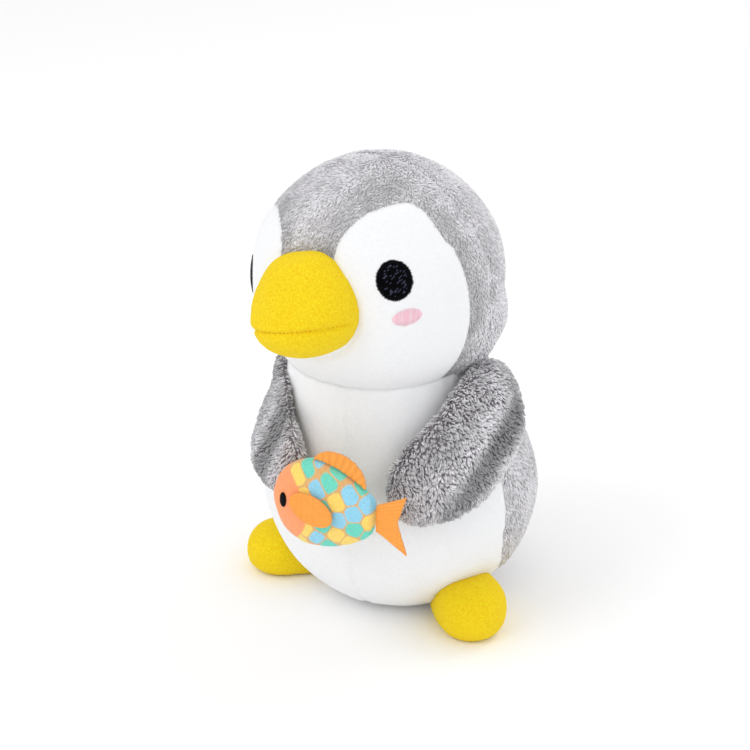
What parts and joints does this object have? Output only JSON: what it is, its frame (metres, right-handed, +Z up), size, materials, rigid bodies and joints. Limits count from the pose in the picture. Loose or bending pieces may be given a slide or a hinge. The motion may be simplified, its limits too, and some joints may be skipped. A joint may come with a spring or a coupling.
{
  "type": "plush penguin",
  "caption": "Soft toy penguin standing on a flat base and splayed feet, with a tilted round head, padded flippers, and a small plush fish held against its belly.",
  "frame": {"origin": "centre of the flat base panel, on the floor under the middle of the belly", "axes": "the penguin faces -Y, its own left is +X, +Z is up"},
  "size_m": [0.1292, 0.1477, 0.197],
  "materials": {
    "white_plush": "short white velboa pile",
    "grey_plush": "clumped grey plush pile, about 3 mm",
    "yellow_plush": "short brushed yellow plush",
    "fibrefill": "polyester fibrefill",
    "cotton_pouch": "plain woven cotton",
    "pellets": "plastic pellets",
    "black_thread": "satin-stitched embroidery thread",
    "pink_thread": "satin-stitched embroidery thread",
    "fish_print": "printed short plush with coloured scales",
    "orange_felt": "fine ribbed orange felt",
    "white_thread": "sewing thread"
  },
  "bodies": {
    "torso": {"body_front_left": "white_plush", "body_front_right": "white_plush", "body_back_left": "grey_plush", "body_back_right": "grey_plush", "base_panel": "white_plush", "body_filling": "fibrefill", "bean_bag": "cotton_pouch", "bean_pellets": "pellets"},
    "neck": {"neck_filling": "fibrefill"},
    "head": {"hood_front": "grey_plush", "hood_back_left": "grey_plush", "hood_back_right": "grey_plush", "face_panel": "white_plush", "beak_upper": "yellow_plush", "beak_lower": "yellow_plush", "beak_filling": "fibrefill", "eye_left": "black_thread", "eye_right": "black_thread", "blush_left": "pink_thread", "blush_right": "pink_thread", "head_filling": "fibrefill"},
    "flipper_left": {"flipper_left_outer": "grey_plush", "flipper_left_inner": "grey_plush", "flipper_left_filling": "fibrefill"},
    "flipper_right": {"flipper_right_outer": "grey_plush", "flipper_right_inner": "grey_plush", "flipper_right_filling": "fibrefill"},
    "foot_left": {"foot_left_top": "yellow_plush", "foot_left_sole": "yellow_plush", "foot_left_filling": "fibrefill"},
    "foot_right": {"foot_right_top": "yellow_plush", "foot_right_sole": "yellow_plush", "foot_right_filling": "fibrefill"},
    "fish": {"fish_outer_panel": "fish_print", "fish_inner_panel": "fish_print", "fish_filling": "fibrefill", "fish_dorsal_fin": "orange_felt", "fish_eye": "black_thread", "fish_tack": "white_thread"},
    "fish_tail": {"fish_tail_fin": "orange_felt"},
    "fish_pectoral": {"fish_pectoral_fin": "orange_felt"}
  },
  "joints": [
    {"name": "neck_turn", "type": "hinge", "parent": "torso", "child": "neck", "pos_m": [0, -0.016, 0.147], "axis": [0, 0, 1], "range_deg": [-20, 20], "stiffness_Nm_per_rad": 0.3},
    {"name": "head_nod", "type": "hinge", "parent": "neck", "child": "head", "pos_m": [0, -0.016, 0.147], "axis": [0.9799, 0, 0.1994], "range_deg": [-8, 10], "stiffness_Nm_per_rad": 0.5},
    {"name": "flipper_left_lift", "type": "hinge", "parent": "torso", "child": "flipper_left", "pos_m": [0.0365, -0.006, 0.12], "axis": [0.276, -0.9611, 0], "range_deg": [0, 28]},
    {"name": "flipper_right_lift", "type": "hinge", "parent": "torso", "child": "flipper_right", "pos_m": [-0.0355, -0.0313, 0.115], "axis": [-0.3908, 0.9205, 0], "range_deg": [0, 45]},
    {"name": "foot_left_fold", "type": "hinge", "parent": "torso", "child": "foot_left", "pos_m": [0.03384, -0.00744, 0.005], "axis": [-0.6428, -0.766, 0], "range_deg": [0, 10], "stiffness_Nm_per_rad": 0.05},
    {"name": "foot_right_fold", "type": "hinge", "parent": "torso", "child": "foot_right", "pos_m": [-0.03384, -0.00544, 0.005], "axis": [-0.6428, 0.766, 0], "range_deg": [0, 10], "stiffness_Nm_per_rad": 0.05},
    {"name": "fish_swing", "type": "hinge", "parent": "torso", "child": "fish", "pos_m": [0.00909, -0.06458, 0.0715], "axis": [0.1392, -0.9903, 0], "range_deg": [-8, 8], "stiffness_Nm_per_rad": 0.01},
    {"name": "tail_wag", "type": "hinge", "parent": "fish", "child": "fish_tail", "pos_m": [0.03257, -0.06936, 0.07071], "axis": [0.0346, 0.0049, 0.9994], "range_deg": [-12, 12], "stiffness_Nm_per_rad": 0.0005},
    {"name": "pectoral_flap", "type": "hinge", "parent": "fish", "child": "fish_pectoral", "pos_m": [0.00203, -0.08274, 0.07684], "axis": [-0.371, -0.0521, -0.9272], "range_deg": [0, 25], "stiffness_Nm_per_rad": 0.0005}
  ]
}
